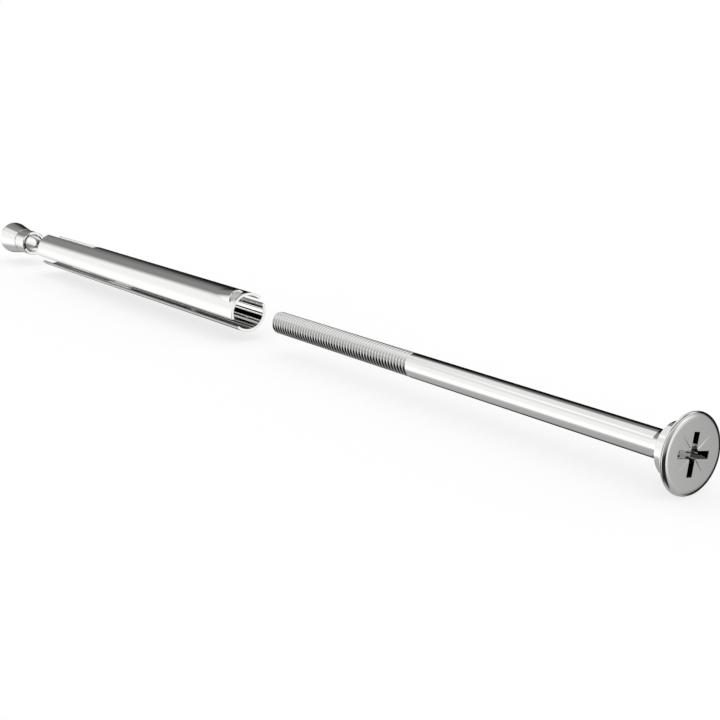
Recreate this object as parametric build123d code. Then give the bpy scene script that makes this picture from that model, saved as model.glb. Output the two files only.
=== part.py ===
# Metal frame anchor, drawn apart along its own axis, millimetres.
#
# Three pieces share the X axis: a frame screw, an expansion sleeve and a cone nut.
# The origin is the centre of the sleeve's mouth, +X points out of the mouth to the screw's head,
# and +Z is up as the anchor lies. The screw and the nut stand as far from the sleeve as they are drawn.
# A turn about the axis is counted from +Z towards +Y.

from build123d import *
from math import asin, cos, degrees, radians, sin, tan
import os

# Expansion sleeve
sleeve_diameter = 10.0
sleeve_wall = 0.7
sleeve_length = 121.5
sleeve_edge_break = 0.1
seam_width = 2.6
seam_turn = -122.0
mouth_slit_width = 1.8
mouth_slit_length = 45.0
end_slot_width = 3.75
end_slot_length = 32.5
end_slot_spread = 47.0

# Lug lanced out of the sleeve near its mouth
lug_turn = -30.0
lug_setback = 2.0
lug_length = 8.4
lug_height = 1.1
lug_radius = 2.5
lug_wall = 1.25

# Frame screw
shank_diameter = 5.37
screw_length = 130.7
thread_diameter = 5.34
thread_length = 53.9
tip_chamfer = 0.5
head_diameter = 15.0
head_face_diameter = 13.2
head_edge_depth = 0.5
head_land = 0.25
head_underside_depth = 1.35
collar_length = 2.3
collar_edge_break = 0.12
neck_diameter = 6.6
neck_length = 2.8

# Cross recess in the screw's head
recess_turn = 10.8
recess_span = 7.9
recess_wing_width = 1.3
recess_depth = 3.3
recess_wing_taper = 30.0
recess_core_diameter = 2.5
recess_core_depth = 3.6
recess_core_taper = 8.0
tick_start = 1.5
tick_end = 5.0
tick_width = 0.26
tick_depth = 0.12

# Cone nut
nut_neck_clearance = 0.49
nut_neck_length = 6.9
nut_cone_length = 9.0
nut_land_length = 0.8
nut_relief_width = 0.3
nut_relief_depth = 0.12
nut_edge_break = 0.15
thread_clearance = 0.05
pocket_turn = -72.0
pocket_angle = 86.0
pocket_rim_wall = 0.35
pocket_depth = 4.5

# How far the pieces are drawn apart
screw_drawn_out = 140.9
nut_drawn_out = 14.9

# Sizes that follow from those above
sleeve_radius = sleeve_diameter / 2
sleeve_bore_radius = sleeve_radius - sleeve_wall
shank_radius = shank_diameter / 2
thread_radius = thread_diameter / 2
head_radius = head_diameter / 2
nut_bore_radius = thread_radius + thread_clearance
nut_neck_radius = sleeve_bore_radius - nut_neck_clearance

# The collar and the nut's cone are as wide as the sleeve, because all three go through one drilled hole
collar_radius = sleeve_radius
nut_cone_radius = sleeve_radius

# Places along the axis
collar_back_x = screw_drawn_out
collar_front_x = collar_back_x + collar_length
head_land_back_x = collar_front_x + head_underside_depth
head_land_front_x = head_land_back_x + head_land
head_front_x = head_land_front_x + head_edge_depth
screw_tip_x = head_front_x - screw_length
thread_start_x = screw_tip_x + thread_length
nut_front_x = -sleeve_length - nut_drawn_out
nut_cone_x = nut_front_x - nut_neck_length
nut_land_x = nut_cone_x - nut_cone_length
nut_end_x = nut_land_x - nut_land_length


def turned(outline):
    """A solid turned about the X axis from a closed outline of x and radius."""
    face = make_face(Plane.XZ * outline)
    return revolve(face, Axis.X, 360)


def at_turn(shape, turn):
    """The shape turned about the X axis, from +Z towards +Y."""
    return shape.rotate(Axis.X, -turn)


def sector(half_angle, radius, front_x, length, turn):
    """A wedge with its edge on the axis, which reaches past a radius."""
    reach = 2 * radius
    outline = Polyline(
        (0, 0),
        (reach * sin(half_angle), reach * cos(half_angle)),
        (0, 2 * reach),
        (-reach * sin(half_angle), reach * cos(half_angle)),
        close=True,
    )
    wedge = extrude(Plane.YZ * make_face(outline), length)
    return at_turn(Pos(front_x - length, 0, 0) * wedge, turn)


def gap(width, front_x, length, turn):
    """An opening along one side of the sleeve's wall, as wide as stated at its outside, with radial edges."""
    return sector(asin(width / sleeve_diameter), sleeve_radius, front_x, length, turn)


def sleeve_tube():
    """The rolled tube, with the edges of both its ends broken."""
    outer = sleeve_radius
    inner = sleeve_bore_radius
    edge = sleeve_edge_break
    far = -sleeve_length
    outline = Polyline(
        (0, inner + edge),
        (0, outer - edge),
        (-edge, outer),
        (far + edge, outer),
        (far, outer - edge),
        (far, inner + edge),
        (far + edge, inner),
        (-edge, inner),
        close=True,
    )
    return turned(outline)


def lug_tube(radius):
    """A slanted round bar that leaves the sleeve's wall towards the mouth."""
    slope = degrees(asin(lug_height / lug_length))
    reach = 2 * lug_length
    bar = Cylinder(radius, reach, rotation=(0, 90, 0), align=(Align.CENTER, Align.CENTER, Align.CENTER))
    bar = bar.rotate(Axis.Y, -slope)
    crown_z = sleeve_radius - lug_radius
    return Pos(-lug_setback - lug_length, 0, crown_z) * bar


def lug_zone(inside):
    """The stretch of the sleeve's outside that the lug takes up."""
    height = sleeve_radius + lug_height
    zone = Cylinder(2 * sleeve_radius, lug_length, rotation=(0, 90, 0))
    zone -= Cylinder(inside, lug_length, rotation=(0, 90, 0))
    zone &= Box(lug_length, 2 * height, height, align=(Align.CENTER, Align.CENTER, Align.MIN))
    return Pos(-lug_setback - lug_length / 2, 0, 0) * zone


def expansion_sleeve():
    """A rolled tube with an open seam, a slit across from it, a lanced lug and two slots at the far end."""
    far_side = seam_turn + 180
    end_slot_front_x = end_slot_length - sleeve_length
    hollow = lug_tube(lug_radius - lug_wall) & lug_zone(sleeve_bore_radius - sleeve_edge_break)
    hood = (lug_tube(lug_radius) & lug_zone(sleeve_bore_radius)) - lug_tube(lug_radius - lug_wall)
    body = sleeve_tube() - at_turn(hollow, lug_turn)
    body += at_turn(hood, lug_turn)
    body -= gap(seam_width, 0, sleeve_length, seam_turn)
    body -= gap(mouth_slit_width, 0, mouth_slit_length, far_side)
    for spread in (-end_slot_spread, end_slot_spread):
        body -= gap(end_slot_width, end_slot_front_x, end_slot_length, far_side + spread)
    return body


def recess_wing(turn):
    """One straight pair of wings of the cross recess, narrowing towards its floor."""
    floor_span = recess_span - 2 * recess_depth * tan(radians(recess_wing_taper))
    top = Plane(origin=(head_front_x, 0, 0), x_dir=(0, 0, 1), z_dir=(1, 0, 0))
    floor = Plane(origin=(head_front_x - recess_depth, 0, 0), x_dir=(0, 0, 1), z_dir=(1, 0, 0))
    wide = top * Rectangle(recess_span, recess_wing_width)
    narrow = floor * Rectangle(floor_span, recess_wing_width)
    return at_turn(loft([wide, narrow]), turn)


def recess_core():
    """The round middle of the cross recess, drawn to a blunt point."""
    floor_radius = recess_core_diameter / 2 - recess_core_depth * tan(radians(recess_core_taper))
    core = Cone(floor_radius, recess_core_diameter / 2, recess_core_depth, rotation=(0, 90, 0))
    return Pos(head_front_x - recess_core_depth / 2, 0, 0) * core


def tick_mark(turn):
    """A scribed line between two wings, tapering outwards."""
    plan = Polyline(
        (tick_start, -tick_width / 2),
        (tick_start, tick_width / 2),
        (tick_end, 0),
        close=True,
    )
    face = Plane(origin=(head_front_x, 0, 0), x_dir=(0, 0, 1), z_dir=(1, 0, 0)) * make_face(plan)
    return at_turn(extrude(face, -tick_depth), turn)


def frame_screw():
    """The long screw: rounded disc head, collar the size of the sleeve, neck, shank and chamfered tip."""
    face_radius = head_face_diameter / 2
    edge = collar_edge_break
    step = shank_radius - thread_radius
    sides = Polyline(
        (head_land_front_x, head_radius),
        (head_land_back_x, head_radius),
        (collar_front_x, collar_radius),
        (collar_back_x + edge, collar_radius),
        (collar_back_x, collar_radius - edge),
        (collar_back_x, neck_diameter / 2),
        (collar_back_x - neck_length, shank_radius),
        (thread_start_x + step, shank_radius),
        (thread_start_x, thread_radius),
        (screw_tip_x + tip_chamfer, thread_radius),
        (screw_tip_x, thread_radius - tip_chamfer),
        (screw_tip_x, 0),
        (head_front_x, 0),
        (head_front_x, face_radius),
    )
    rounded = EllipticalCenterArc(
        (head_land_front_x, face_radius), head_edge_depth, head_radius - face_radius, 0, arc_size=90
    )
    body = turned(sides + rounded)
    for quarter in range(2):
        body -= recess_wing(recess_turn + 90 * quarter)
    body -= recess_core()
    for quarter in range(4):
        body -= tick_mark(recess_turn + 45 + 90 * quarter)
    return body


def nut_pocket():
    """The curved pocket beside the bore, open at the nut's front face."""
    outer = nut_neck_radius - pocket_rim_wall
    ring = Cylinder(outer, pocket_depth, rotation=(0, 90, 0)) - Cylinder(
        nut_bore_radius - thread_clearance, pocket_depth, rotation=(0, 90, 0)
    )
    wedge = sector(radians(pocket_angle / 2), nut_neck_radius, nut_front_x, pocket_depth, pocket_turn)
    return Pos(nut_front_x - pocket_depth / 2, 0, 0) * ring & wedge


def cone_nut():
    """The cone that spreads the sleeve: neck, relief groove, cone, short land, through bore and pocket."""
    edge = nut_edge_break
    half_relief = nut_relief_width / 2
    cone_slope = (nut_cone_radius - nut_neck_radius) / nut_cone_length
    outline = Polyline(
        (nut_front_x, nut_bore_radius + edge),
        (nut_front_x, nut_neck_radius - edge),
        (nut_front_x - edge, nut_neck_radius),
        (nut_cone_x + half_relief, nut_neck_radius),
        (nut_cone_x, nut_neck_radius - nut_relief_depth),
        (nut_cone_x - half_relief, nut_neck_radius + half_relief * cone_slope),
        (nut_land_x, nut_cone_radius),
        (nut_end_x + edge, nut_cone_radius),
        (nut_end_x, nut_cone_radius - edge),
        (nut_end_x, nut_bore_radius + edge),
        (nut_end_x + edge, nut_bore_radius),
        (nut_front_x - edge, nut_bore_radius),
        close=True,
    )
    return turned(outline) - nut_pocket()


pieces = {
    "frame_screw": frame_screw(),
    "expansion_sleeve": expansion_sleeve(),
    "cone_nut": cone_nut(),
}
os.makedirs("parts", exist_ok=True)
for name, piece in pieces.items():
    export_step(piece, f"parts/{name}.step")
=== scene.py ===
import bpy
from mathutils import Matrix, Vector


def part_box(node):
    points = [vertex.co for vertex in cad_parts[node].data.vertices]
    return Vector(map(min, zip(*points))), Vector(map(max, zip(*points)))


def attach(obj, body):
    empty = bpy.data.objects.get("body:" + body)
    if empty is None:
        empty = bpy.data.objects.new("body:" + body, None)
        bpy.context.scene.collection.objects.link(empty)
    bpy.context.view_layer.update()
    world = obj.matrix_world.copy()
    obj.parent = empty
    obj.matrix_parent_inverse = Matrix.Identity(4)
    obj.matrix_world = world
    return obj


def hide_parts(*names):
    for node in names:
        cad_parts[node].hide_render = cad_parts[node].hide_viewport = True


bl_info = {
    "name": "Frame Anchor",
    "version": (1, 0, 0),
    "blender": (4, 5, 0),
    "location": "View3D > Sidebar > Frame Anchor",
    "description": "Builds a metal frame anchor, drawn apart: frame screw, expansion sleeve and cone nut",
    "category": "Object",
}

from math import asin, ceil, cos, pi, radians, sin, tan

import bmesh
import bpy
from bpy.props import FloatProperty, FloatVectorProperty, IntProperty, PointerProperty
from mathutils import Matrix, Vector

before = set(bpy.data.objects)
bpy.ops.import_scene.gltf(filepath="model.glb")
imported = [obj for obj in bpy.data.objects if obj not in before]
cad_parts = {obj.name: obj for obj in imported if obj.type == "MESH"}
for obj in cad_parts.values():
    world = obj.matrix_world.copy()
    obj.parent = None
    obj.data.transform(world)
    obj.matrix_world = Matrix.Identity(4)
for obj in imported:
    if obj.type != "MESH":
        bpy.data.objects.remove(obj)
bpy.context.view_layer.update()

MM = 0.001
SEGMENTS = 120
ARC_STEPS = 24
EDGE_STEPS = 3
EDGE_LIMIT = radians(50)
SMOOTH_LIMIT = radians(5)

# Points nearer than this are one, where a thread meets its body and in a finished mesh
WELD = 0.001 * MM
FINE_WELD = WELD / 10

# The plate's grain: noise scales of the haze and of the fine lines, the lines' height, and how their
# pattern is scaled on a piece drawn along the axis and on one turned about it
HAZE_SCALE = 260.0
LINE_SCALE = 4000.0
LINE_HEIGHT = 0.01 * MM
DRAWN_ALONG = (0.02, 1.0, 1.0)
TURNED_ROUND = (1.0, 0.3, 0.3)

# Places along the axis that the frame gives: the head's front, the screw's tip, both ends of sleeve and nut
SCREW_TIP_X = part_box("frame_screw")[0].x
HEAD_FRONT_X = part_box("frame_screw")[1].x
SLEEVE_END_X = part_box("expansion_sleeve")[0].x
SLEEVE_MOUTH_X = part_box("expansion_sleeve")[1].x
NUT_END_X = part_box("cone_nut")[0].x
NUT_FRONT_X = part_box("cone_nut")[1].x
FLOOR_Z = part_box("frame_screw")[0].z


def length(label, description, millimetres):
    """A length property, with its default given in millimetres."""
    return FloatProperty(
        name=label, description=description, default=millimetres * MM, min=0.0, unit="LENGTH", precision=5
    )


def in_degrees(label, description, degrees):
    """An angle property. A turn about the anchor's axis counts from the top towards +Y."""
    return FloatProperty(name=label, description=description, default=radians(degrees), subtype="ANGLE")


def share(label, description, default):
    """A property that runs from 0 to 1."""
    return FloatProperty(
        name=label, description=description, default=default, min=0.0, max=1.0, subtype="FACTOR"
    )


class ScrewSizes(bpy.types.PropertyGroup):
    """Sizes of the frame screw."""

    shank_diameter: length("Shank diameter", "Across the plain shank", 5.37)
    thread_diameter: length("Thread diameter", "Across the thread's crests", 5.34)
    thread_length: length("Thread length", "From the tip to the plain shank", 53.9)
    thread_pitch: length("Thread pitch", "From one crest to the next", 1.08)
    thread_depth: length("Thread depth", "From crest to root", 0.5)
    thread_run_out: share("Thread run-out", "Turns over which the thread fades into the shank", 0.35)
    head_diameter: length("Head diameter", "Across the head's rim", 15.0)
    head_face_diameter: length("Head face diameter", "Across the flat front, inside its rounded edge", 12.3)
    head_edge_depth: length("Head edge depth", "How far the rounded edge reaches back", 0.68)
    head_land: length("Head land", "Length of the rim's straight part", 0.07)
    head_underside_depth: length("Head underside depth", "Length of the cone under the head", 1.35)
    collar_diameter: length("Collar diameter", "Across the collar that closes the sleeve's mouth", 10.0)
    collar_length: length("Collar length", "Length of the collar", 2.3)
    collar_edge_break: length("Collar edge break", "Chamfer at the collar's back", 0.12)
    neck_diameter: length("Neck diameter", "Across the neck where it meets the collar", 6.6)
    neck_length: length("Neck length", "From the collar to the plain shank", 2.8)
    recess_turn: in_degrees("Recess turn", "How far the cross recess is turned", 10.8)
    recess_span: length("Recess span", "Across two opposite wings", 7.9)
    recess_wing_width: length("Recess wing width", "Width of a wing", 1.4)
    recess_depth: length("Recess depth", "Depth of the wings", 3.3)
    recess_wing_taper: in_degrees("Recess wing taper", "Slope of the wings' ends", 30.0)
    recess_lip: length("Recess lip", "Rounded lip where the recess meets the face", 0.05)
    recess_core_diameter: length("Recess core diameter", "Across the round middle", 2.5)
    recess_core_depth: length("Recess core depth", "Depth of the round middle", 3.6)
    recess_core_taper: in_degrees("Recess core taper", "Slope of the round middle", 8.0)
    tick_start: length("Tick start", "Radius where a scribed line starts", 1.5)
    tick_end: length("Tick end", "Radius where a scribed line runs out", 5.0)
    tick_width: length("Tick width", "Width of a scribed line at its start", 0.26)
    tick_depth: length("Tick depth", "Depth of a scribed line at its start", 0.12)
    tick_count: IntProperty(name="Tick count", description="Number of scribed lines", default=4, min=1)


class SleeveSizes(bpy.types.PropertyGroup):
    """Sizes of the expansion sleeve."""

    diameter: length("Diameter", "Across the outside", 10.0)
    wall: length("Wall", "Thickness of the strip", 0.7)
    edge_break: length("Edge break", "Rounding of the strip's cut edges", 0.08)
    seam_width: length("Seam width", "Opening of the seam", 2.6)
    seam_turn: in_degrees("Seam turn", "Where the seam lies", -122.0)
    mouth_slit_width: length("Mouth slit width", "Width of the slit at the mouth, across from the seam", 1.8)
    mouth_slit_length: length("Mouth slit length", "Length of the slit at the mouth", 45.0)
    end_slot_width: length("End slot width", "Width of the two slots at the far end", 3.75)
    end_slot_length: length("End slot length", "Length of the two slots at the far end", 32.5)
    end_slot_spread: in_degrees("End slot spread", "From the mouth slit round to each end slot", 47.0)
    lug_turn: in_degrees("Lug turn", "Where the lug lies", -30.0)
    lug_setback: length("Lug setback", "From the mouth to the lug's cut face", 2.0)
    lug_length: length("Lug length", "From the cut face to the end of the ramp", 8.4)
    lug_height: length("Lug height", "How far the lug stands out", 1.1)
    lug_radius: length("Lug radius", "Radius of the lug's crown", 2.5)
    lug_wall: length("Lug wall", "Thickness of the lug at its crown", 1.25)
    lug_edge_break: length("Lug edge break", "Rounding of the lug's cut edge", 0.25)


class NutSizes(bpy.types.PropertyGroup):
    """Sizes of the cone nut."""

    neck_diameter: length("Neck diameter", "Across the neck that enters the sleeve", 7.62)
    neck_length: length("Neck length", "From the front to the cone", 6.9)
    cone_diameter: length("Cone diameter", "Across the cone's wide end", 10.0)
    cone_length: length("Cone length", "Length of the cone", 9.0)
    relief_width: length("Relief width", "Width of the groove between neck and cone", 0.3)
    relief_depth: length("Relief depth", "Depth of the groove between neck and cone", 0.12)
    edge_break: length("Edge break", "Chamfer of the ends", 0.15)
    bore_diameter: length("Bore diameter", "Across the bore", 5.44)
    bore_chamfer: length("Bore chamfer", "Chamfer where the bore meets the front", 0.3)
    plain_bore_length: length("Plain bore length", "Bore without thread behind the front", 13.5)
    thread_depth: length("Thread depth", "Depth of the thread's grooves in the bore", 0.45)
    pocket_turn: in_degrees("Pocket turn", "Middle of the pocket beside the bore", -72.0)
    pocket_angle: in_degrees("Pocket angle", "How far round the pocket reaches", 86.0)
    pocket_rim_wall: length("Pocket rim wall", "Wall left outside the pocket", 0.35)
    pocket_bore_wall: length("Pocket bore wall", "Wall left between the pocket and the bore", 0.36)
    pocket_depth: length("Pocket depth", "Depth of the pocket", 4.5)


class MetalLook(bpy.types.PropertyGroup):
    """Finish of the bright zinc plate."""

    colour: FloatVectorProperty(
        name="Colour", description="Reflected colour of the plate", default=(0.885, 0.88, 0.87),
        size=3, min=0.0, max=1.0, subtype="COLOR",
    )
    roughness: share("Roughness", "Blur of the reflections", 0.035)
    haze: share("Haze", "How much the blur varies over the surface", 0.02)
    drawing_lines: share("Drawing lines", "Strength of the fine lines left by drawing", 0.02)


class StudioLook(bpy.types.PropertyGroup):
    """Camera and floor of the studio."""

    camera_place: FloatVectorProperty(
        name="Camera place", description="Where the camera stands", default=(0.29508, -0.17663, 0.07153),
        size=3, subtype="TRANSLATION",
    )
    camera_dip: in_degrees("Camera dip", "How far the camera looks down", 13.757)
    camera_heading: in_degrees("Camera heading", "Where the camera looks, from +Y towards -X", 54.41)
    lens: FloatProperty(name="Lens", description="Focal length in millimetres", default=69.4, min=1.0)
    floor_size: FloatProperty(
        name="Floor size", description="Width of the floor", default=8.0, min=0.1, unit="LENGTH"
    )
    shadow: share("Shadow", "How much of the object's shadow the floor shows", 0.35)


class AnchorSettings(bpy.types.PropertyGroup):
    """All sizes and colours of the anchor and its studio."""

    screw: PointerProperty(type=ScrewSizes)
    sleeve: PointerProperty(type=SleeveSizes)
    nut: PointerProperty(type=NutSizes)
    metal: PointerProperty(type=MetalLook)
    studio: PointerProperty(type=StudioLook)


def settings(context):
    """The property groups of this scene, by piece."""
    return context.scene.frame_anchor


# Meshes


def mesh_object(name, bm):
    """A new object at the origin, with the mesh that was built."""
    bmesh.ops.recalc_face_normals(bm, faces=bm.faces)
    mesh = bpy.data.meshes.new(name)
    bm.to_mesh(mesh)
    bm.free()
    made = bpy.data.objects.new(name, mesh)
    bpy.context.scene.collection.objects.link(made)
    return made


def ring_points(x, radius):
    """Points round the X axis at one place and radius."""
    steps = [2 * pi * i / SEGMENTS for i in range(SEGMENTS)]
    return [(x, radius * cos(step), radius * sin(step)) for step in steps]


def revolve(bm, outline):
    """Turns points of x and radius about the X axis. A radius of 0 closes that end with a flat disc."""
    rings = []
    for x, radius in outline:
        rings.append([bm.verts.new(point) for point in ring_points(x, radius)] if radius else None)
    for ring, following in zip(rings, rings[1:]):
        if ring is None or following is None:
            bm.faces.new(ring or following)
            continue
        for i in range(SEGMENTS):
            j = (i + 1) % SEGMENTS
            bm.faces.new((ring[i], ring[j], following[j], following[i]))


def prism(bm, outlines):
    """Joins outlines of equal point count, one after another, into a closed solid."""
    loops = [[bm.verts.new(point) for point in outline] for outline in outlines]
    count = len(loops[0])
    for loop, following in zip(loops, loops[1:]):
        for i in range(count):
            j = (i + 1) % count
            bm.faces.new((loop[i], loop[j], following[j], following[i]))
    bm.faces.new(loops[0])
    bm.faces.new(reversed(loops[-1]))


def flatten(thing):
    """Replaces an object's mesh by its evaluated one, with all faces outwards, and removes its modifiers."""
    graph = bpy.context.evaluated_depsgraph_get()
    mesh = bpy.data.meshes.new_from_object(thing.evaluated_get(graph))
    thing.modifiers.clear()
    bm = bmesh.new()
    bm.from_mesh(mesh)
    bmesh.ops.recalc_face_normals(bm, faces=bm.faces)
    bm.to_mesh(mesh)
    bm.free()
    thing.data = mesh


def break_edges(thing, width):
    """Rounds an object's sharp edges."""
    bevel = thing.modifiers.new("Edge break", "BEVEL")
    bevel.width = width
    bevel.segments = EDGE_STEPS
    bevel.limit_method = "ANGLE"
    bevel.angle_limit = EDGE_LIMIT
    flatten(thing)


def carve(target, tool, operation):
    """Joins the tool to the target or cuts it out, and removes the tool."""
    boolean = target.modifiers.new("Carve", "BOOLEAN")
    boolean.operation = operation
    boolean.solver = "EXACT"
    boolean.object = tool
    bpy.context.view_layer.update()
    flatten(target)
    bpy.data.objects.remove(tool)


def about_axis(angle):
    """The turn about the X axis that takes the top to this angle, counted towards +Y."""
    return Matrix.Rotation(-angle, 4, "X")


def finish_piece(piece, node, body, material):
    """Shades a piece, gives it its finish, hides the frame's part that it stands for and attaches it to its
    body.
    """
    bm = bmesh.new()
    bm.from_mesh(piece.data)
    bmesh.ops.remove_doubles(bm, verts=bm.verts, dist=FINE_WELD)
    bmesh.ops.recalc_face_normals(bm, faces=bm.faces)
    for face in bm.faces:
        face.smooth = True
    bm.to_mesh(piece.data)
    bm.free()
    piece.data.set_sharp_from_angle(angle=SMOOTH_LIMIT)
    piece.data.materials.clear()
    piece.data.materials.append(material)
    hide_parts(node)
    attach(piece, body)


# Node trees


def link_or_set(tree, socket, value):
    """Links an output to a socket, or sets the socket's own value."""
    if isinstance(value, bpy.types.NodeSocket):
        tree.links.new(value, socket)
    else:
        socket.default_value = value


def calc(tree, operation, *values):
    """One Math node, with its inputs linked or set."""
    node = tree.nodes.new("ShaderNodeMath")
    node.operation = operation
    for socket, value in zip(node.inputs, values):
        link_or_set(tree, socket, value)
    return node.outputs[0]


def add_node(tree, kind, **inputs):
    """A node with its named inputs linked or set; an underscore in a name stands for a space."""
    node = tree.nodes.new(kind)
    for name, value in inputs.items():
        link_or_set(tree, node.inputs[name.replace("_", " ")], value)
    return node


def new_tree(name, kind, inputs, outputs):
    """A node tree with named sockets. Gives the tree, its input node's sockets and its output node."""
    tree = bpy.data.node_groups.new(name, kind)
    for label, socket_type, default in inputs:
        socket = tree.interface.new_socket(label, in_out="INPUT", socket_type=socket_type)
        if default is not None:
            socket.default_value = default
    for label, socket_type in outputs:
        tree.interface.new_socket(label, in_out="OUTPUT", socket_type=socket_type)
    return tree, tree.nodes.new("NodeGroupInput").outputs, tree.nodes.new("NodeGroupOutput")


def add_tree(thing, tree, **values):
    """Puts a geometry tree on an object and sets its inputs by their identifiers."""
    modifier = thing.modifiers.new(tree.name, "NODES")
    modifier.node_group = tree
    for item in tree.interface.items_tree:
        key = item.name.lower().replace(" ", "_")
        if item.in_out == "INPUT" and key in values:
            modifier[item.identifier] = values[key]


def thread_tree():
    """A right-hand thread that joins two open rings of a turned mesh, as one strip that follows a helix."""
    tree, given, result = new_tree(
        "Thread",
        "GeometryNodeTree",
        [
            ("Geometry", "NodeSocketGeometry", None),
            ("Start", "NodeSocketFloat", 0.0),
            ("Length", "NodeSocketFloat", 0.05),
            ("Pitch", "NodeSocketFloat", 0.001),
            ("Radius", "NodeSocketFloat", 0.003),
            ("Depth", "NodeSocketFloat", 0.0005),
            ("End radius", "NodeSocketFloat", 1.0),
            ("Start run out", "NodeSocketFloat", 1.0),
            ("End run out", "NodeSocketFloat", 0.01),
            ("Segments", "NodeSocketInt", SEGMENTS),
            ("Material", "NodeSocketMaterial", None),
        ],
        [("Geometry", "NodeSocketGeometry")],
    )
    turns = calc(tree, "ADD", calc(tree, "CEIL", calc(tree, "DIVIDE", given["Length"], given["Pitch"])), 1.0)
    rows = calc(tree, "ADD", calc(tree, "MULTIPLY", turns, given["Segments"]), 1.0)
    strip = add_node(tree, "GeometryNodeMeshGrid", Size_X=1.0, Size_Y=1.0, Vertices_X=rows, Vertices_Y=5)
    place = tree.nodes.new("ShaderNodeSeparateXYZ")
    tree.links.new(tree.nodes.new("GeometryNodeInputPosition").outputs[0], place.inputs[0])
    along_helix = calc(tree, "MULTIPLY", calc(tree, "ADD", place.outputs["X"], 0.5), turns)
    across = calc(tree, "ADD", place.outputs["Y"], 0.5)

    # The strip's five columns are root, root, crest, crest and the next turn's root
    flat_share = 0.2
    shift = calc(tree, "MULTIPLY", calc(tree, "PINGPONG", across, 0.25), flat_share)
    step = calc(tree, "ADD", along_helix, calc(tree, "SUBTRACT", calc(tree, "SUBTRACT", across, shift), 1.0))
    back = calc(tree, "MULTIPLY", step, given["Pitch"])
    back = calc(tree, "MAXIMUM", calc(tree, "MINIMUM", back, given["Length"]), 0.0)
    rising = calc(tree, "MULTIPLY", calc(tree, "SUBTRACT", across, 0.25), 4.0)
    falling = calc(tree, "MULTIPLY", calc(tree, "SUBTRACT", 1.0, across), 4.0)
    crest = calc(tree, "MAXIMUM", calc(tree, "MINIMUM", calc(tree, "MINIMUM", rising, falling), 1.0), 0.0)

    # The groove is cut full depth between its two run-outs, and the end may have a chamfer
    left = calc(tree, "SUBTRACT", given["Length"], back)
    start_fade = calc(tree, "DIVIDE", back, calc(tree, "MULTIPLY", given["Start run out"], given["Pitch"]))
    end_fade = calc(tree, "DIVIDE", left, calc(tree, "MULTIPLY", given["End run out"], given["Pitch"]))
    fade = calc(tree, "MINIMUM", calc(tree, "MINIMUM", start_fade, end_fade), 1.0)
    depth = calc(tree, "MULTIPLY", given["Depth"], fade)
    groove = calc(tree, "MULTIPLY", calc(tree, "SUBTRACT", 1.0, crest), depth)
    radius = calc(tree, "SUBTRACT", given["Radius"], groove)
    radius = calc(tree, "MINIMUM", radius, calc(tree, "ADD", given["End radius"], left))

    angle = calc(tree, "MULTIPLY", along_helix, -2 * pi)
    spot = add_node(
        tree,
        "ShaderNodeCombineXYZ",
        X=calc(tree, "SUBTRACT", given["Start"], back),
        Y=calc(tree, "MULTIPLY", radius, calc(tree, "COSINE", angle)),
        Z=calc(tree, "MULTIPLY", radius, calc(tree, "SINE", angle)),
    )
    wound = add_node(
        tree, "GeometryNodeSetPosition", Geometry=strip.outputs["Mesh"], Position=spot.outputs[0]
    )
    joined = tree.nodes.new("GeometryNodeJoinGeometry")
    tree.links.new(wound.outputs[0], joined.inputs[0])
    tree.links.new(given["Geometry"], joined.inputs[0])
    welded = add_node(tree, "GeometryNodeMergeByDistance", Geometry=joined.outputs[0], Distance=WELD)
    solid = add_node(tree, "GeometryNodeRealizeInstances", Geometry=welded.outputs[0])
    coated = add_node(tree, "GeometryNodeSetMaterial", Geometry=solid.outputs[0], Material=given["Material"])
    tree.links.new(coated.outputs[0], result.inputs[0])
    return tree


def copies_tree():
    """Copies of a mesh, spaced evenly about the X axis."""
    tree, given, result = new_tree(
        "Turned copies",
        "GeometryNodeTree",
        [
            ("Geometry", "NodeSocketGeometry", None),
            ("Count", "NodeSocketInt", 4),
            ("Material", "NodeSocketMaterial", None),
        ],
        [("Geometry", "NodeSocketGeometry")],
    )
    points = add_node(tree, "GeometryNodeMeshLine", Count=given["Count"], Offset=(0.0, 0.0, 0.0))
    number = tree.nodes.new("GeometryNodeInputIndex").outputs[0]
    step = calc(tree, "DIVIDE", 2 * pi, given["Count"])
    rotation = add_node(tree, "ShaderNodeCombineXYZ", X=calc(tree, "MULTIPLY", number, step))
    copies = add_node(
        tree,
        "GeometryNodeInstanceOnPoints",
        Points=points.outputs["Mesh"],
        Instance=given["Geometry"],
        Rotation=rotation.outputs[0],
    )
    solid = add_node(tree, "GeometryNodeRealizeInstances", Geometry=copies.outputs[0])
    coated = add_node(tree, "GeometryNodeSetMaterial", Geometry=solid.outputs[0], Material=given["Material"])
    tree.links.new(coated.outputs[0], result.inputs[0])
    return tree


def tree_named(name, builder):
    """The node tree of that name, built the first time it is asked for."""
    return bpy.data.node_groups.get(name) or builder()


# Finishes


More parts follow.
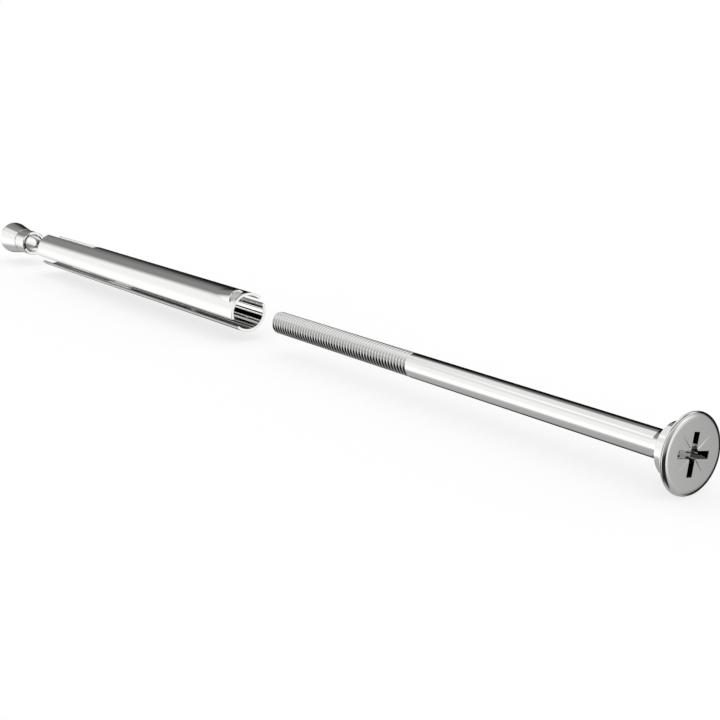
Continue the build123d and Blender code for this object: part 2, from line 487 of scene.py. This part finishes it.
def plated_metal(name, look, stretch):
    """Bright zinc plate: a mirror with faint haze and fine lines along the way the piece was drawn."""
    material = bpy.data.materials.new(name)
    material.use_nodes = True
    tree = material.node_tree
    shader = tree.nodes["Principled BSDF"]
    shader.inputs["Base Color"].default_value = (*look.colour, 1.0)
    shader.inputs["Metallic"].default_value = 1.0
    place = tree.nodes.new("ShaderNodeTexCoord").outputs["Object"]
    cloud = add_node(tree, "ShaderNodeTexNoise", Vector=place, Scale=HAZE_SCALE, Detail=3.0)
    haze = add_node(tree, "ShaderNodeMapRange", Value=cloud.outputs["Fac"])
    haze.inputs["To Min"].default_value = look.roughness
    haze.inputs["To Max"].default_value = look.roughness + look.haze
    tree.links.new(haze.outputs[0], shader.inputs["Roughness"])
    drawn = add_node(tree, "ShaderNodeMapping", Vector=place, Scale=stretch)
    lines = add_node(tree, "ShaderNodeTexNoise", Vector=drawn.outputs[0], Scale=LINE_SCALE, Detail=2.0)
    bump = add_node(tree, "ShaderNodeBump", Height=lines.outputs["Fac"], Distance=LINE_HEIGHT)
    bump.inputs["Strength"].default_value = look.drawing_lines
    tree.links.new(bump.outputs[0], shader.inputs["Normal"])
    return material


# Frame screw


def screw_outline(sizes):
    """Points of x and radius from the middle of the head's front to the start of the thread."""
    face_radius = sizes.head_face_diameter / 2
    head_radius = sizes.head_diameter / 2
    collar_radius = sizes.collar_diameter / 2
    land_front = HEAD_FRONT_X - sizes.head_edge_depth
    land_back = land_front - sizes.head_land
    collar_front = land_back - sizes.head_underside_depth
    collar_back = collar_front - sizes.collar_length
    shank_radius = sizes.shank_diameter / 2
    thread_radius = sizes.thread_diameter / 2
    thread_start = SCREW_TIP_X + sizes.thread_length
    edge_width = head_radius - face_radius
    steps = [pi / 2 * i / ARC_STEPS for i in range(ARC_STEPS + 1)]
    rounded = [
        (land_front + sizes.head_edge_depth * cos(step), face_radius + edge_width * sin(step))
        for step in steps
    ]
    return [
        (HEAD_FRONT_X, 0),
        *rounded,
        (land_back, head_radius),
        (collar_front, collar_radius),
        (collar_back + sizes.collar_edge_break, collar_radius),
        (collar_back, collar_radius - sizes.collar_edge_break),
        (collar_back, sizes.neck_diameter / 2),
        (collar_back - sizes.neck_length, shank_radius),
        (thread_start + shank_radius - thread_radius, shank_radius),
        (thread_start, thread_radius),
    ]


def cross_outline(x, half_span, half_width):
    """The twelve corners of a cross, square to the axis."""
    quarter = [(half_span, -half_width), (half_span, half_width), (half_width, half_width)]
    corners = []
    for side in range(4):
        spin = Matrix.Rotation(side * pi / 2, 2)
        corners += [spin @ Vector(corner) for corner in quarter]
    return [(x, corner.x, corner.y) for corner in corners]


def recess_tool(sizes):
    """The solid that a cross recess leaves out: four wings with sloping ends and a small lip."""
    bm = bmesh.new()
    half_span = sizes.recess_span / 2
    half_width = sizes.recess_wing_width / 2
    lip = sizes.recess_lip
    floor_span = half_span - sizes.recess_depth * tan(sizes.recess_wing_taper)
    prism(
        bm,
        [
            cross_outline(HEAD_FRONT_X + lip, half_span + 2 * lip, half_width + 2 * lip),
            cross_outline(HEAD_FRONT_X - lip, half_span, half_width),
            cross_outline(HEAD_FRONT_X - sizes.recess_depth, floor_span, half_width),
        ],
    )
    bm.transform(about_axis(sizes.recess_turn))
    return mesh_object("recess_tool", bm)


def core_tool(sizes):
    """The round middle of the recess, drawn to a blunt point."""
    bm = bmesh.new()
    radius = sizes.recess_core_diameter / 2
    slope = tan(sizes.recess_core_taper)
    above = sizes.tick_depth
    floor_x = HEAD_FRONT_X - sizes.recess_core_depth
    floor_radius = radius - sizes.recess_core_depth * slope
    point_slope = radians(20)
    point_radius = floor_radius / 10
    point_x = floor_x - floor_radius * tan(point_slope)
    revolve(
        bm,
        [
            (HEAD_FRONT_X + above, 0),
            (HEAD_FRONT_X + above, radius + above * slope),
            (floor_x, floor_radius),
            (point_x, point_radius),
            (point_x, 0),
        ],
    )
    return mesh_object("core_tool", bm)


def tick_tool(sizes, material):
    """The wedges that the scribed lines between the wings leave out."""
    bm = bmesh.new()
    above = sizes.tick_depth
    spread = sizes.tick_width
    lifted = HEAD_FRONT_X + above
    corners = [
        (lifted, -spread, sizes.tick_start),
        (lifted, spread, sizes.tick_start),
        (lifted, 0, 2 * sizes.tick_end - sizes.tick_start),
        (HEAD_FRONT_X - sizes.tick_depth, 0, sizes.tick_start),
    ]
    verts = [bm.verts.new(corner) for corner in corners]
    for left_out in range(4):
        bm.faces.new([vert for i, vert in enumerate(verts) if i != left_out])
    bm.transform(about_axis(sizes.recess_turn + radians(45)))
    tool = mesh_object("tick_tool", bm)
    add_tree(tool, tree_named("Turned copies", copies_tree), count=sizes.tick_count, material=material)
    flatten(tool)
    return tool


def build_screw(sizes, material):
    """The whole screw as one closed mesh."""
    bm = bmesh.new()
    outline = screw_outline(sizes)
    tip_radius = sizes.thread_diameter / 2 - sizes.thread_depth
    revolve(bm, outline)
    revolve(bm, [(SCREW_TIP_X, tip_radius), (SCREW_TIP_X, 0)])
    screw = mesh_object("frame_screw_bright", bm)
    add_tree(
        screw,
        tree_named("Thread", thread_tree),
        start=SCREW_TIP_X + sizes.thread_length,
        length=sizes.thread_length,
        pitch=sizes.thread_pitch,
        radius=sizes.thread_diameter / 2,
        depth=sizes.thread_depth,
        end_radius=tip_radius,
        start_run_out=sizes.thread_run_out,
        material=material,
    )
    flatten(screw)
    carve(screw, recess_tool(sizes), "DIFFERENCE")
    carve(screw, core_tool(sizes), "DIFFERENCE")
    carve(screw, tick_tool(sizes, material), "DIFFERENCE")
    return screw


# Expansion sleeve


def around(start, end, spots=()):
    """Angles from start to end at no more than one segment's step, with the given ones among them."""
    stops = sorted({start, end, *[spot for spot in spots if start < spot < end]})
    angles = [start]
    for low, high in zip(stops, stops[1:]):
        count = ceil((high - low) / (2 * pi / SEGMENTS))
        angles += [low + (high - low) * i / count for i in range(1, count + 1)]
    return angles


def sleeve_gaps(sizes):
    """The seam, the mouth slit and the end slots: middle, half angle, and where each starts and stops."""
    far_side = sizes.seam_turn + pi
    mouth_stop = SLEEVE_MOUTH_X - sizes.mouth_slit_length
    end_start = SLEEVE_END_X + sizes.end_slot_length
    half_end_slot = asin(sizes.end_slot_width / sizes.diameter)
    return [
        (sizes.seam_turn, asin(sizes.seam_width / sizes.diameter), SLEEVE_MOUTH_X, SLEEVE_END_X),
        (far_side, asin(sizes.mouth_slit_width / sizes.diameter), SLEEVE_MOUTH_X, mouth_stop),
        (far_side - sizes.end_slot_spread, half_end_slot, end_start, SLEEVE_END_X),
        (far_side + sizes.end_slot_spread, half_end_slot, end_start, SLEEVE_END_X),
    ]


def sleeve_wall(sizes):
    """The rolled strip with its seam, slit and slots, as a wall between two radii."""
    outer = sizes.diameter / 2
    inner = outer - sizes.wall
    (seam_turn, half_seam, mouth, end), *gaps = sleeve_gaps(sizes)
    edges = [turn + side * half for turn, half, *_ in gaps for side in (-1, 1)]
    angles = around(seam_turn + half_seam, seam_turn - half_seam + 2 * pi, edges)
    places = sorted({mouth, end, *[place for gap in gaps for place in gap[2:]]}, reverse=True)

    def is_open(row, column):
        middle = (angles[column] + angles[column + 1]) / 2
        x = (places[row] + places[row + 1]) / 2
        return any(abs(middle - turn) < half and stop < x < start for turn, half, start, stop in gaps)

    bm = bmesh.new()
    corners = {}

    def corner(row, column, radius):
        key = (row, column, radius)
        if key not in corners:
            angle = angles[column]
            corners[key] = bm.verts.new((places[row], radius * sin(angle), radius * cos(angle)))
        return corners[key]

    rows = range(len(places) - 1)
    columns = range(len(angles) - 1)
    solid = {(row, column) for row in rows for column in columns if not is_open(row, column)}
    for row, column in sorted(solid):
        for radius in (inner, outer):
            spots = ((row, column), (row + 1, column), (row + 1, column + 1), (row, column + 1))
            bm.faces.new([corner(*spot, radius) for spot in spots])
        sides = {
            (row - 1, column): ((row, column), (row, column + 1)),
            (row + 1, column): ((row + 1, column), (row + 1, column + 1)),
            (row, column - 1): ((row, column), (row + 1, column)),
            (row, column + 1): ((row, column + 1), (row + 1, column + 1)),
        }
        for neighbour, (first, second) in sides.items():
            if neighbour not in solid:
                edge = [corner(*first, inner), corner(*first, outer)]
                edge += [corner(*second, outer), corner(*second, inner)]
                bm.faces.new(edge)
    wall = mesh_object("expansion_sleeve_bright", bm)
    break_edges(wall, sizes.edge_break)
    return wall


def lug_bar(name, radius, sizes, front_x):
    """A slanted round bar that leaves the sleeve's wall towards the mouth, cut square at its front."""
    bm = bmesh.new()
    ramp_end = SLEEVE_MOUTH_X - sizes.lug_setback - sizes.lug_length
    reach = 2 * sizes.lug_length
    revolve(bm, [(-reach, 0), (-reach, radius), (reach, radius), (reach, 0)])
    slope = asin(sizes.lug_height / sizes.lug_length)
    bm.transform(Matrix.Rotation(-slope, 4, "Y"))
    bm.transform(Matrix.Translation((ramp_end, 0, sizes.diameter / 2 - sizes.lug_radius)))
    for x, side in ((front_x, 1), (ramp_end - sizes.lug_length, -1)):
        everything = bm.verts[:] + bm.edges[:] + bm.faces[:]
        cut = bmesh.ops.bisect_plane(
            bm, geom=everything, plane_co=(x, 0, 0), plane_no=(side, 0, 0), clear_outer=True
        )["geom_cut"]
        bmesh.ops.edgeloop_fill(bm, edges=[item for item in cut if isinstance(item, bmesh.types.BMEdge)])
    bm.transform(about_axis(sizes.lug_turn))
    return mesh_object(name, bm)


def core_bar(radius):
    """A round bar through the sleeve's whole length."""
    bm = bmesh.new()
    beyond = 2 * radius
    revolve(
        bm,
        [
            (SLEEVE_END_X - beyond, 0),
            (SLEEVE_END_X - beyond, radius),
            (SLEEVE_MOUTH_X + beyond, radius),
            (SLEEVE_MOUTH_X + beyond, 0),
        ],
    )
    return mesh_object("core_bar", bm)


def build_sleeve(sizes):
    """The rolled strip with its lanced lug, as one closed mesh."""
    sleeve = sleeve_wall(sizes)
    front_x = SLEEVE_MOUTH_X - sizes.lug_setback
    hood = lug_bar("hood", sizes.lug_radius, sizes, front_x)
    break_edges(hood, sizes.lug_edge_break)
    carve(hood, core_bar((sizes.diameter - sizes.wall) / 2), "DIFFERENCE")
    carve(sleeve, hood, "UNION")
    hollow = lug_bar("hollow", sizes.lug_radius - sizes.lug_wall, sizes, front_x)
    carve(sleeve, hollow, "DIFFERENCE")
    return sleeve


# Cone nut


def pocket_tool(sizes):
    """The curved pocket beside the bore."""
    bm = bmesh.new()
    outer = sizes.neck_diameter / 2 - sizes.pocket_rim_wall
    inner = sizes.bore_diameter / 2 + sizes.pocket_bore_wall
    steps = around(sizes.pocket_turn - sizes.pocket_angle / 2, sizes.pocket_turn + sizes.pocket_angle / 2)
    sector = [(outer * sin(step), outer * cos(step)) for step in steps]
    sector += [(inner * sin(step), inner * cos(step)) for step in reversed(steps)]
    ends = (NUT_FRONT_X + sizes.edge_break, NUT_FRONT_X - sizes.pocket_depth)
    prism(bm, [[(x, y, z) for y, z in sector] for x in ends])
    return mesh_object("pocket_tool", bm)


def build_nut(sizes, pitch, material):
    """The cone nut as one closed mesh, with its thread behind a plain stretch of bore."""
    edge = sizes.edge_break
    neck = sizes.neck_diameter / 2
    cone = sizes.cone_diameter / 2
    bore = sizes.bore_diameter / 2
    cone_front = NUT_FRONT_X - sizes.neck_length
    cone_back = cone_front - sizes.cone_length
    half_relief = sizes.relief_width / 2
    thread_start = NUT_FRONT_X - sizes.plain_bore_length
    thread_end = NUT_END_X + edge
    bm = bmesh.new()
    revolve(
        bm,
        [
            (thread_start, bore),
            (NUT_FRONT_X - sizes.bore_chamfer, bore),
            (NUT_FRONT_X, bore + sizes.bore_chamfer),
            (NUT_FRONT_X, neck - edge),
            (NUT_FRONT_X - edge, neck),
            (cone_front + half_relief, neck),
            (cone_front, neck - sizes.relief_depth),
            (cone_front - half_relief, neck + half_relief * (cone - neck) / sizes.cone_length),
            (cone_back, cone),
            (NUT_END_X + edge, cone),
            (NUT_END_X, cone - edge),
            (NUT_END_X, bore + edge),
            (thread_end, bore),
        ],
    )
    nut = mesh_object("cone_nut_bright", bm)
    add_tree(
        nut,
        tree_named("Thread", thread_tree),
        start=thread_start,
        length=thread_start - thread_end,
        pitch=pitch,
        radius=bore,
        depth=-sizes.thread_depth,
        end_run_out=1.0,
        material=material,
    )
    flatten(nut)
    carve(nut, pocket_tool(sizes), "DIFFERENCE")
    return nut


# Studio

# Each soft card stands far off and shows only in reflections. Its place, half sizes and the softness
# of its sides and of its top and bottom are in degrees, azimuth counted from +X towards +Y and elevation
# from the horizon; brightness 1 is white.
WALL_BRIGHTNESS = 0.865
SOFT_CARDS = (
    ("table", 0, -83.9, 999, 64.7, 3.1, 1.5, 0.468),
    ("table far off", 0, -91.1, 999, 52, 1.5, 7.5, 0.417),
    ("window at the camera's left", -144.9, 1, 16.3, 22.3, 1.5, 1.5, 1),
    ("window's lower half", -143.1, -12, 15, 11.3, 3, 9.8, 1.193),
    ("window's upper strip", -148.2, 37.9, 9.8, 3, 7.8, 2.7, 1.163),
    ("grey wall beyond the nut", 177.9, 13.4, 17, 23.8, 5.4, 2.4, 0.256),
    ("grey wall, upper part", 131, 15.3, 31.4, 31.6, 6.8, 2, 0.254),
    ("dark ceiling before the head", -1.3, 55.8, 73.4, 9.3, 20, 1.5, 0),
    ("grey wall before the head", 9.1, 2.3, 48.4, 30.7, 6.1, 11.4, 0.452),
    ("white sill before the head", -1.4, -10.7, 42.1, 11, 10.7, 8.6, 1.004),
    ("dark backdrop", 111.1, -7.4, 51.1, 40.8, 13.5, 8.6, 0.005),
    ("white panel at the head's right", 33.2, 11.1, 10.9, 11, 13.8, 3.2, 1.063),
    ("dark floor before the head", -9.6, -29.6, 30.4, 31.1, 1.5, 16.3, 0.022),
    ("dark strip beside the camera", -68.6, -24.9, 19.1, 44.8, 5.4, 4.8, 0),
    ("white strip beside the camera", -55.6, 5.8, 3.3, 45.5, 1.5, 20, 1.3),
    ("dark strip, upper part", -74.2, 31, 9.2, 21.3, 4, 2.9, 0.004),
)


def card_tree():
    """Shows a soft-edged card of one brightness in front of what lies behind it."""
    names = (
        "Azimuth",
        "Elevation",
        "Behind",
        "Card azimuth",
        "Card elevation",
        "Half width",
        "Half height",
        "Side softness",
        "Top softness",
        "Brightness",
    )
    tree, given, result = new_tree(
        "Soft card",
        "ShaderNodeTree",
        [(name, "NodeSocketFloat", 0.0) for name in names],
        [("Level", "NodeSocketFloat")],
    )
    aside = calc(tree, "WRAP", calc(tree, "SUBTRACT", given["Azimuth"], given["Card azimuth"]), pi, -pi)
    above = calc(tree, "SUBTRACT", given["Elevation"], given["Card elevation"])
    covers = []
    for offset, half, softness in (
        (aside, given["Half width"], given["Side softness"]),
        (above, given["Half height"], given["Top softness"]),
    ):
        edge = add_node(
            tree,
            "ShaderNodeMapRange",
            Value=calc(tree, "ABSOLUTE", offset),
            From_Min=calc(tree, "SUBTRACT", half, softness),
            From_Max=calc(tree, "ADD", half, softness),
            To_Min=1.0,
            To_Max=0.0,
        )
        edge.interpolation_type = "SMOOTHSTEP"
        covers.append(edge.outputs[0])
    cover = calc(tree, "MULTIPLY", *covers)
    change = calc(tree, "SUBTRACT", given["Brightness"], given["Behind"])
    tree.links.new(calc(tree, "MULTIPLY_ADD", cover, change, given["Behind"]), result.inputs[0])
    return tree


def build_world(scene):
    """White all round for the camera and the floor, and the soft cards for what the metal reflects."""
    world = bpy.data.worlds.new("Studio")
    scene.world = world
    world.use_nodes = True
    tree = world.node_tree
    sight = tree.nodes.new("ShaderNodeSeparateXYZ")
    tree.links.new(tree.nodes.new("ShaderNodeTexCoord").outputs["Generated"], sight.inputs[0])
    azimuth = calc(tree, "ARCTAN2", sight.outputs["Y"], sight.outputs["X"])
    elevation = calc(tree, "ARCSINE", sight.outputs["Z"])
    level = WALL_BRIGHTNESS
    cards = tree_named("Soft card", card_tree)
    for name, *angles, brightness in SOFT_CARDS:
        card = tree.nodes.new("ShaderNodeGroup")
        card.node_tree = cards
        card.label = name
        values = (azimuth, elevation, level, *map(radians, angles), brightness)
        for socket, value in zip(card.inputs, values):
            link_or_set(tree, socket, value)
        level = card.outputs[0]
    path = tree.nodes.new("ShaderNodeLightPath")
    mirrored = calc(tree, "MAXIMUM", path.outputs["Is Glossy Ray"], path.outputs["Is Transmission Ray"])
    difference = calc(tree, "SUBTRACT", level, 1.0)
    strength = calc(tree, "MULTIPLY_ADD", mirrored, difference, 1.0)
    backdrop = tree.nodes["Background"]
    backdrop.inputs["Color"].default_value = (1.0, 1.0, 1.0, 1.0)
    tree.links.new(strength, backdrop.inputs["Strength"])


def floor_material(shadow):
    """White for the camera, with part of the shading that a white floor has, so that a faint shadow stays."""
    material = bpy.data.materials.new("white_floor")
    material.use_nodes = True
    tree = material.node_tree
    tree.nodes.remove(tree.nodes["Principled BSDF"])
    paper = add_node(tree, "ShaderNodeBsdfDiffuse", Color=(1.0, 1.0, 1.0, 1.0))
    glow = add_node(tree, "ShaderNodeEmission", Color=(1.0, 1.0, 1.0, 1.0), Strength=1.0)
    path = tree.nodes.new("ShaderNodeLightPath")
    shown = calc(tree, "MULTIPLY", path.outputs["Is Camera Ray"], 1.0 - shadow)
    mixed = tree.nodes.new("ShaderNodeMixShader")
    tree.links.new(shown, mixed.inputs[0])
    tree.links.new(paper.outputs[0], mixed.inputs[1])
    tree.links.new(glow.outputs[0], mixed.inputs[2])
    tree.links.new(mixed.outputs[0], tree.nodes["Material Output"].inputs["Surface"])
    return material


def build_floor(look):
    """A plain floor under the head's rim. The metal reflects the soft grey table card in its place."""
    bm = bmesh.new()
    bmesh.ops.create_grid(bm, x_segments=1, y_segments=1, size=look.floor_size / 2)
    bm.transform(Matrix.Translation((0, 0, FLOOR_Z)))
    floor = mesh_object("floor", bm)
    floor.data.materials.append(floor_material(look.shadow))
    floor.visible_glossy = False


def build_camera(scene, look):
    """The camera at the photographed view."""
    camera = bpy.data.cameras.new("camera")
    camera.lens = look.lens
    camera.sensor_width = 36.0
    camera.clip_start = 0.01
    holder = bpy.data.objects.new("camera", camera)
    holder.location = look.camera_place
    holder.rotation_euler = (pi / 2 - look.camera_dip, 0, look.camera_heading)
    scene.collection.objects.link(holder)
    scene.camera = holder


# Operators


class AddFrameScrew(bpy.types.Operator):
    """Adds the frame screw, with its thread, collar and cross recess"""

    bl_idname = "frame_anchor.add_screw"
    bl_label = "Add frame screw"

    def execute(self, context):
        """Builds the screw and hands it to its body."""
        chosen = settings(context)
        metal = plated_metal("screw_plate", chosen.metal, DRAWN_ALONG)
        screw = build_screw(chosen.screw, metal)
        finish_piece(screw, "frame_screw", "screw", metal)
        return {"FINISHED"}


class AddExpansionSleeve(bpy.types.Operator):
    """Adds the slotted expansion sleeve, with its lanced lug"""

    bl_idname = "frame_anchor.add_sleeve"
    bl_label = "Add expansion sleeve"

    def execute(self, context):
        """Builds the sleeve and hands it to its body."""
        chosen = settings(context)
        metal = plated_metal("sleeve_plate", chosen.metal, DRAWN_ALONG)
        finish_piece(build_sleeve(chosen.sleeve), "expansion_sleeve", "sleeve", metal)
        return {"FINISHED"}


class AddConeNut(bpy.types.Operator):
    """Adds the cone nut, with its pocket and threaded bore"""

    bl_idname = "frame_anchor.add_nut"
    bl_label = "Add cone nut"

    def execute(self, context):
        """Builds the nut and hands it to its body."""
        chosen = settings(context)
        metal = plated_metal("nut_plate", chosen.metal, TURNED_ROUND)
        nut = build_nut(chosen.nut, chosen.screw.thread_pitch, metal)
        finish_piece(nut, "cone_nut", "nut", metal)
        return {"FINISHED"}


class SetStudio(bpy.types.Operator):
    """Sets the floor, the light and the camera"""

    bl_idname = "frame_anchor.set_studio"
    bl_label = "Set studio"

    def execute(self, context):
        """Builds the stage round the anchor."""
        look = settings(context).studio
        scene = context.scene
        build_camera(scene, look)
        build_world(scene)
        build_floor(look)
        scene.view_settings.view_transform = "Standard"
        return {"FINISHED"}


class AnchorPanel(bpy.types.Panel):
    """Lists the anchor's pieces and its studio"""

    bl_idname = "VIEW3D_PT_frame_anchor"
    bl_label = "Frame Anchor"
    bl_space_type = "VIEW_3D"
    bl_region_type = "UI"
    bl_category = "Frame Anchor"

    def draw(self, context):
        """Shows each operator above its own values, and at the end the finish that the pieces share."""
        chosen = settings(context)
        for operator, group in (
            (SetStudio, chosen.studio),
            (AddFrameScrew, chosen.screw),
            (AddExpansionSleeve, chosen.sleeve),
            (AddConeNut, chosen.nut),
            (None, chosen.metal),
        ):
            box = self.layout.box()
            if operator:
                box.operator(operator.bl_idname)
            for name in group.__annotations__:
                box.prop(group, name)


CLASSES = (
    ScrewSizes,
    SleeveSizes,
    NutSizes,
    MetalLook,
    StudioLook,
    AnchorSettings,
    AddFrameScrew,
    AddExpansionSleeve,
    AddConeNut,
    SetStudio,
    AnchorPanel,
)


def register():
    """Registers the add-on's classes and its settings."""
    for kind in CLASSES:
        bpy.utils.register_class(kind)
    bpy.types.Scene.frame_anchor = PointerProperty(type=AnchorSettings)


def unregister():
    """Takes the settings and classes away again."""
    del bpy.types.Scene.frame_anchor
    for kind in reversed(CLASSES):
        bpy.utils.unregister_class(kind)


def main():
    """Builds the studio and the three pieces."""
    register()
    bpy.ops.frame_anchor.set_studio()
    bpy.ops.frame_anchor.add_screw()
    bpy.ops.frame_anchor.add_sleeve()
    bpy.ops.frame_anchor.add_nut()


if __name__ == "__main__":
    main()
